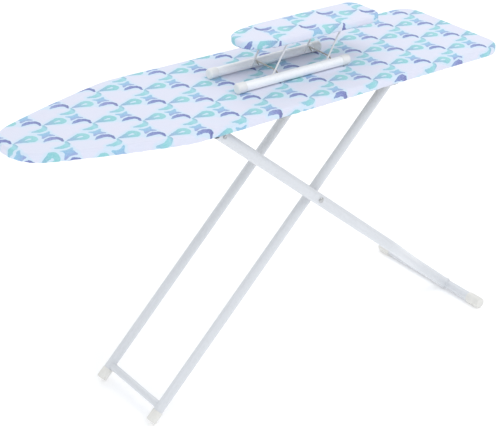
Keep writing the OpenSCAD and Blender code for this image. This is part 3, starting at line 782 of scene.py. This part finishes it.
def stitches(name, line, nxt, body, length=0.62):
    """A row of stitches that holds the casing, one for each step along the hem."""
    n = len(line)
    paths = []
    for i in range(0, n):
        a, b = line[i], line[(i + 1) % n]
        q = a + (b - a) * length
        mid = (a + q) / 2
        low = np.array([0, 0, -0.00028])
        paths.append([a + low * 0.2, a + (mid - a) * 0.5 + low, mid + (q - mid) * 0.5 + low, q + low * 0.2])
    o = sweeps(name, paths, 0.00022, THREAD, body, sides=5)
    return o


st = stitches("cover_hem_stitches", m_line, m_nxt, "board")
sts = stitches("sleeve_hem_stitches", s_line, s_nxt, "sleeve_top")


# ------------------------------------------------------------------ felt pads
def make_pad(name, args, x0, z0, z1, cx0, cx1, inset, r, step, body, node, seed):
    o, nrm, _ = outline(args, x0, step)
    n = len(o)
    rng = np.random.default_rng(seed)
    w = wave(n, 30, seed) * 0.0002
    shares = np.array([0, 0.2, 0.4, 0.58, 0.72, 0.84, 0.92, 0.97, 1.0])
    rings = []
    low = 1.2 * MM
    bottoms, _ = spider(o, cx0, cx1, inset + low, shares, nrm)
    tops, _ = spider(o, cx0, cx1, inset + r, shares, nrm)
    for t in bottoms:
        rings.append(np.column_stack([t, np.full(n, z0)]))
    for a in np.linspace(-90, 0, 4)[1:]:
        off = -inset - low + low * math.cos(math.radians(a)) + w
        rings.append(np.column_stack([o + nrm * off[:, None], np.full(n, z0 + low + low * math.sin(math.radians(a)))]))
    for a in np.linspace(0, 90, 7):
        off = -inset - r + r * math.cos(math.radians(a)) + w * math.cos(math.radians(a))
        rings.append(np.column_stack([o + nrm * off[:, None], np.full(n, z1 - r + r * math.sin(math.radians(a)))]))
    for t, s in zip(tops[::-1][1:], shares[::-1][1:]):
        rings.append(np.column_stack([t, np.full(n, z1)]))
    verts, _, faces = rings_to_mesh(rings, rings, False)
    faces = [tuple(reversed(f)) for f in faces]
    # join both centre lines
    pos, where = {}, []
    for v in verts:
        key = (round(v[0], 7), round(v[1], 7), round(v[2], 7))
        where.append(pos.setdefault(key, len(pos)))
    vv = [None] * len(pos)
    for v, k in zip(verts, where):
        vv[k] = v
    ff = []
    for f in faces:
        g = []
        for i in f:
            k = where[i]
            if not g or g[-1] != k:
                g.append(k)
        if len(g) > 1 and g[0] == g[-1]:
            g.pop()
        if len(set(g)) >= 3:
            ff.append(tuple(g))
    ob = mesh_object(name, vv, ff, FELT)
    co = np.array([v.co for v in ob.data.vertices], float)
    bump = 0.00012 * np.sin(co[:, 0] * 210 + 3 * np.sin(co[:, 1] * 90)) * np.sin(co[:, 1] * 260 + 2 * np.sin(co[:, 0] * 70))
    co[:, 2] += bump
    ob.data.vertices.foreach_set("co", co.astype(np.float32).ravel())
    ob.data.update()
    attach(ob, body)
    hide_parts(node)
    return ob


plo, phi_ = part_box("pad")
make_pad("pad_felt", MAIN, 0, plo.z + 0.0002, phi_.z - 0.0003, (150 - XM) * MM, (1040 - XM) * MM, 1.7 * MM, 4.6 * MM, 0.008, "board", "pad", 5)
qlo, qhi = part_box("sleeve_pad")
make_pad("sleeve_pad_felt", SLV, 546, qlo.z + 0.0002, qhi.z - 0.0003, (606 - XM) * MM, (864 - XM) * MM, 1.6 * MM, 4.2 * MM, 0.006, "sleeve_top", "sleeve_pad", 6)


# ------------------------------------------------------------------ expanded metal deck
def inside_poly(poly, pts):
    x, y = pts[:, 0], pts[:, 1]
    ins = np.zeros(len(pts), bool)
    n = len(poly)
    for i in range(n):
        x0, y0 = poly[i]
        x1, y1 = poly[(i + 1) % n]
        c = (y0 > y) != (y1 > y)
        with np.errstate(divide="ignore", invalid="ignore"):
            xi = (x1 - x0) * (y - y0) / (y1 - y0) + x0
        ins ^= c & (x < xi)
    return ins


def make_deck():
    o, nrm, _ = outline(MAIN, 0, 0.012)
    d0, d1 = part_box("deck_panel")
    z0, z1 = d0.z, d1.z
    lim = o - nrm * (5.0 * MM)
    px, py, w, bond = 13.5 * MM, 5.4 * MM, 0.95 * MM, 2.4 * MM
    verts, faces = [], []

    def strip(pts, wid, za, zb):
        """a flat strip of metal along a line, one closed piece"""
        k = len(verts)
        p = np.array(pts, float)
        t = np.gradient(p, axis=0)
        t /= np.linalg.norm(t, axis=1)[:, None]
        s = np.column_stack([-t[:, 1], t[:, 0]]) * wid
        for a, b in zip(p, s):
            for q, z in ((a + b, za), (a - b, za), (a - b, zb), (a + b, zb)):
                verts.append((q[0], q[1], z))
        m = len(p)
        for i in range(m - 1):
            for j in range(4):
                l = (j + 1) % 4
                faces.append((k + i * 4 + j, k + i * 4 + l, k + i * 4 + 4 + l, k + i * 4 + 4 + j))
        faces.append((k + 3, k + 2, k + 1, k))
        faces.append(tuple(k + (m - 1) * 4 + j for j in range(4)))

    xa, xb = o[:, 0].min(), o[:, 0].max()
    nx = int((xb - xa) / px) + 2
    ny = int(0.34 / (2 * py)) + 2
    for r in range(-ny, ny + 1):
        pts = []
        for i in range(nx):
            # each row zigzags, and touches the next row at its bonds
            up_ = 1 if (i + r) % 2 == 0 else -1
            y = r * 2 * py + up_ * (py - w * 0.9)
            x = xa + i * px
            pts += [(x - bond, y), (x + bond, y)]
        pts = np.array(pts)
        ok = inside_poly(lim, pts)
        run = []
        for p, good in zip(pts, ok):
            if good:
                run.append(p)
            elif run:
                if len(run) > 2:
                    strip(run, w, z0 + (0.0001 if r % 2 else 0), z1 - (0 if r % 2 else 0.0001))
                run = []
        if len(run) > 2:
            strip(run, w, z0, z1)
    # the border, pressed flat into the rim
    k = len(verts)
    n = len(o)
    a, b = o - nrm * (2.4 * MM), o - nrm * (9.0 * MM)
    for ring, z in ((a, z0), (a, z1), (b, z1), (b, z0)):
        verts.extend((q[0], q[1], z) for q in ring)
    for j in range(4):
        l = (j + 1) % 4
        for i in range(n):
            m_ = (i + 1) % n
            faces.append((k + j * n + i, k + l * n + i, k + l * n + m_, k + j * n + m_))
    ob = mesh_object("deck_mesh", verts, faces, ZINC, smooth=False)
    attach(ob, "board")
    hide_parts("deck_panel")
    return ob


deck = make_deck()

# ------------------------------------------------------------------ welds
DA, SA = math.radians(45.5), math.radians(39.5)
cx = (683.98 - XM) * MM
cz = 438.57 * MM
dd = np.array([-math.cos(DA), 0, -math.sin(DA)])  # down the double leg
ds = np.array([math.cos(SA), 0, -math.sin(SA)])  # down the single leg
b0, b1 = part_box("double_leg_bar")
bar_c = np.array([(b0.x + b1.x) / 2, 0, (b0.z + b1.z) / 2])
dp = np.array([math.sin(DA), 0, -math.cos(DA)])  # across the double leg, in its plane
paths = []
for s in (-1, 1):
    p = []
    for i in range(48):
        a = 2 * math.pi * i / 48
        r = 8.7 * MM
        q = r * math.sin(a)  # along the leg
        c = r * math.cos(a)  # across it
        p.append(bar_c + dd * q + dp * c + np.array([0, s * (0.1 - math.sqrt(0.0111 ** 2 - c ** 2)), 0]))
    paths.append(p)
welds = sweeps("double_leg_welds", paths, 0.0013, PAINT, "double_leg", sides=8, closed=True, ripple=0.16)
f0, f1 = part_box("single_foot_bar")
fb = np.array([(f0.x + f1.x) / 2, 0, (f0.z + f1.z) / 2])
t0, t1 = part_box("single_tube")
leg_y = -125.5 * MM + 66 * MM
sp = np.array([math.sin(SA), 0, math.cos(SA)])
p = []
for i in range(60):
    a = 2 * math.pi * i / 60
    c, q = 13.1 * MM * math.cos(a), 13.1 * MM * math.sin(a)
    back = math.sqrt(max(0.0, 0.01135 ** 2 - min(abs(c), 0.0113) ** 2))
    p.append(fb + np.array([0, leg_y + q, 0]) + sp * c - ds * back)
fweld = sweeps("single_leg_weld", [p], 0.0013, PAINT, "single_leg", sides=8, closed=True, ripple=0.16)
# spots that hold the stays to the wire hoops
for tag, body in (("front", "sleeve_leg_front"), ("rear", "sleeve_leg_rear")):
    w0, w1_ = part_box(f"sleeve_wire_{tag}")
    lean = math.radians(30)
    wx, wz = w0.x + 2 * MM, w0.z + 2 * MM
    along = np.array([math.sin(lean), 0, math.cos(lean)])
    side = np.array([math.cos(lean), 0, -math.sin(lean)])
    paths = []
    for s in (-1, 1):
        c = np.array([wx, s * 34.6 * MM, wz]) + along * 15 * MM + side * 2.0 * MM
        paths.append([c - along * 1.9 * MM, c - along * 1.2 * MM, c, c + along * 1.2 * MM, c + along * 1.9 * MM])
    sw = sweeps(f"sleeve_{tag}_stay_welds", paths, 0.0012, WIRE, body, sides=8, ripple=0.2)

# ------------------------------------------------------------------ lever spring
g0, g1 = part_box("lever_spring")
sc = np.array([(g0.x + g1.x) / 2, (g0.y + g1.y) / 2])
hz_ = g1.z - g0.z
pts = []
turns, rad, wr = 7, 2.9 * MM, 0.4 * MM
for i in range(turns * 24 + 1):
    a = 2 * math.pi * i / 24
    u = i / (turns * 24)
    # the end turns lie flat
    v = min(max((u - 0.12) / 0.76, 0), 1)
    pts.append((sc[0] + rad * math.cos(a), sc[1] + rad * math.sin(a), g0.z + wr + (hz_ - 2 * wr) * v))
spring = sweeps("lever_spring_coil", [pts], wr, STEEL, "board", sides=8)
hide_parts("lever_spring")
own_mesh(spring)

# ------------------------------------------------------------------ floor, light
fm = Tree("floor")
fo_ = fm.obj()
fc = fm.mix(fm.span(fm.noise(fo_, 1.5, 3), 0.3, 0.7), lin((253, 253, 254)), lin((251, 251, 252)))
fm.set(color=fc, rough=0.9, spec=0.1)
fm.bsdf.inputs["Emission Color"].default_value = (1.0, 1.0, 1.0, 1.0)
fm.bsdf.inputs["Emission Strength"].default_value = 0.14
me = bpy.data.meshes.new("floor")
me.from_pydata([(-14, -14, 0), (14, -14, 0), (14, 14, 0), (-14, 14, 0)], [], [(0, 1, 2, 3)])
me.materials.append(fm.mat)
floor = bpy.data.objects.new("floor", me)
scene.collection.objects.link(floor)
floor.location.z = -0.0005

world = bpy.data.worlds.new("world")
scene.world = world
world.use_nodes = True
bg = world.node_tree.nodes["Background"]
bg.inputs[0].default_value = (0.97, 0.985, 1.0, 1)
bg.inputs[1].default_value = 0.82


def area(name, loc, target, size, power, color=(1, 1, 1), size_y=None):
    d = bpy.data.lights.new(name, "AREA")
    d.shape = "RECTANGLE"
    d.size, d.size_y = size, size_y or size
    d.energy = power
    d.color = color
    o = bpy.data.objects.new(name, d)
    scene.collection.objects.link(o)
    o.location = loc
    o.rotation_euler = (Vector(target) - Vector(loc)).to_track_quat("-Z", "Y").to_euler()
    return o


area("key", (0.9, -1.6, 3.4), (0, 0, 0.4), 2.8, 27, (1.0, 0.995, 0.985))
area("fill", (-3.2, -1.4, 1.8), (0, 0, 0.4), 2.2, 12, (0.96, 0.98, 1.0))
area("back", (1.6, 2.8, 2.6), (0, 0, 0.5), 2.6, 22, (0.98, 0.99, 1.0))
scene.view_settings.view_transform = "Standard"
scene.view_settings.look = "None"
scene.view_settings.exposure = 0.0
